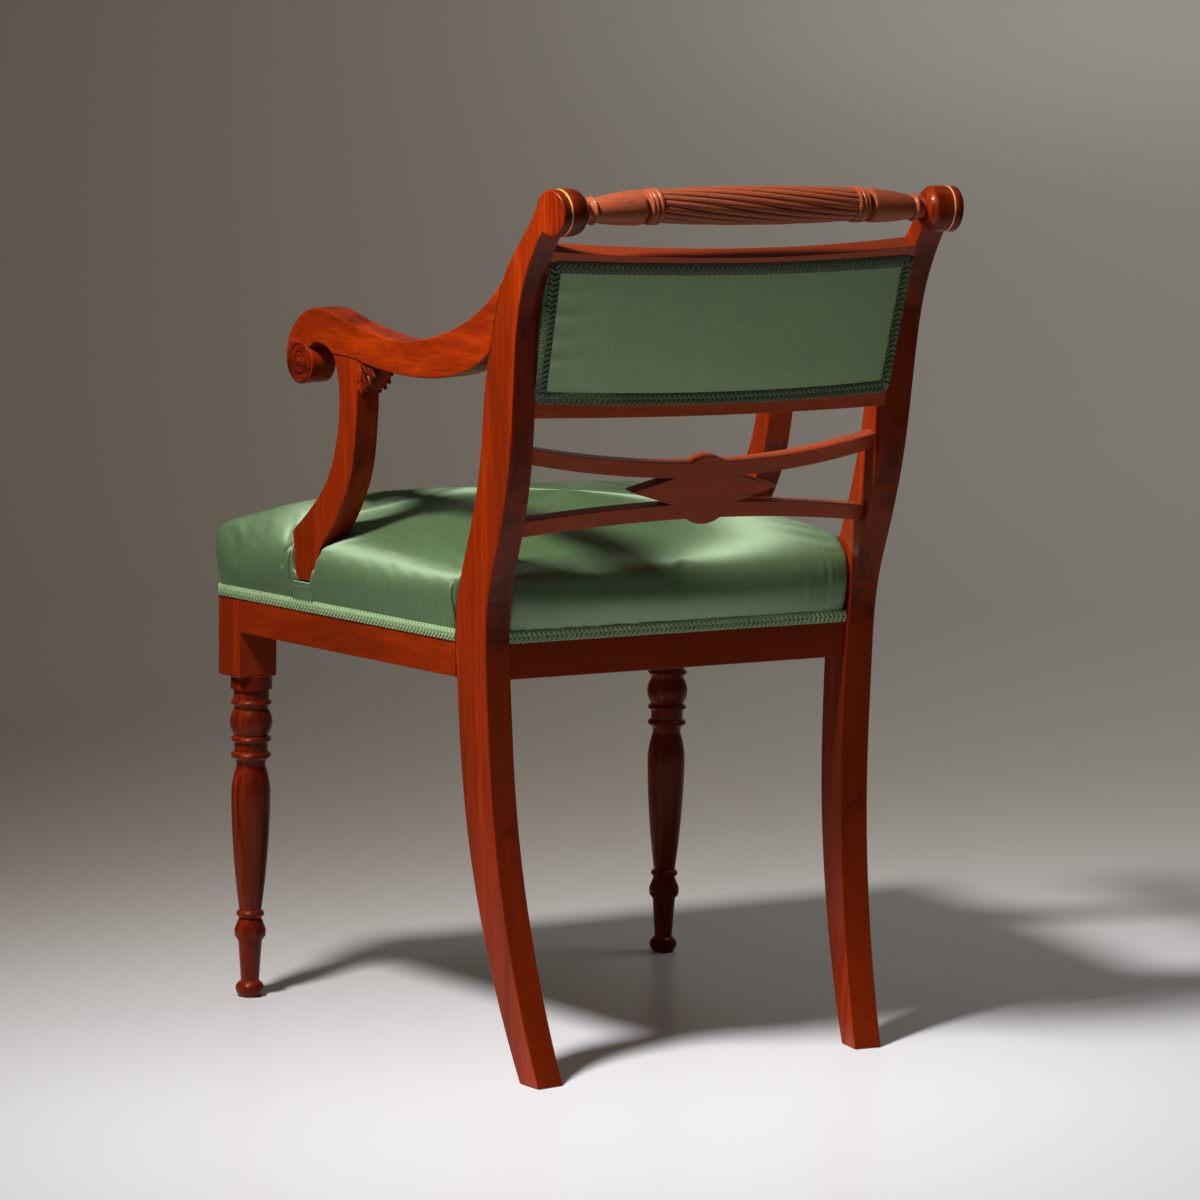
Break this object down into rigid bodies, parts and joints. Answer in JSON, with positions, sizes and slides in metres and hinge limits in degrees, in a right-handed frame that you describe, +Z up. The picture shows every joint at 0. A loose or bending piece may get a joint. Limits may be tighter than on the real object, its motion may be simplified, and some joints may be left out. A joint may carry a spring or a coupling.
{
  "type": "open armchair",
  "caption": "Open dining armchair with sabre rear legs, turned front legs, scroll arms, a spiral-reeded top rail and a stuffed satin seat and back panel.",
  "frame": {"origin": "on the floor under the middle of the bounding box", "axes": "+Z up, the chair faces -Y, and the sitter's left is +X"},
  "size_m": [0.5592, 0.5867, 0.8408],
  "materials": {
    "mahogany": "glossy french polish",
    "string_inlay": "polished pale inlay",
    "satin": "sage green satin",
    "gimp_braid": "woven green braid",
    "webbing": "woven jute",
    "hessian": "plain woven jute"
  },
  "bodies": {
    "root": {"arm_left": "mahogany", "arm_right": "mahogany", "arm_support_left": "mahogany", "arm_support_right": "mahogany", "back_cover": "satin", "back_gimp_front": "gimp_braid", "back_gimp_rear": "gimp_braid", "back_pad": "satin", "back_seat_rail": "mahogany", "cross_splat": "mahogany", "front_leg_left": "mahogany", "front_leg_right": "mahogany", "front_seat_rail": "mahogany", "leaf_bracket_left": "mahogany", "leaf_bracket_right": "mahogany", "lower_back_rail": "mahogany", "rear_leg_left": "mahogany", "rear_leg_right": "mahogany", "scroll_stringing_left": "string_inlay", "scroll_stringing_right": "string_inlay", "seat_gimp_back": "gimp_braid", "seat_gimp_front": "gimp_braid", "seat_hessian": "hessian", "seat_pad": "satin", "seat_webbing": "webbing", "side_seat_rail_left": "mahogany", "side_seat_rail_right": "mahogany", "top_rail": "mahogany", "upper_back_rail": "mahogany"}
  },
  "joints": []
}
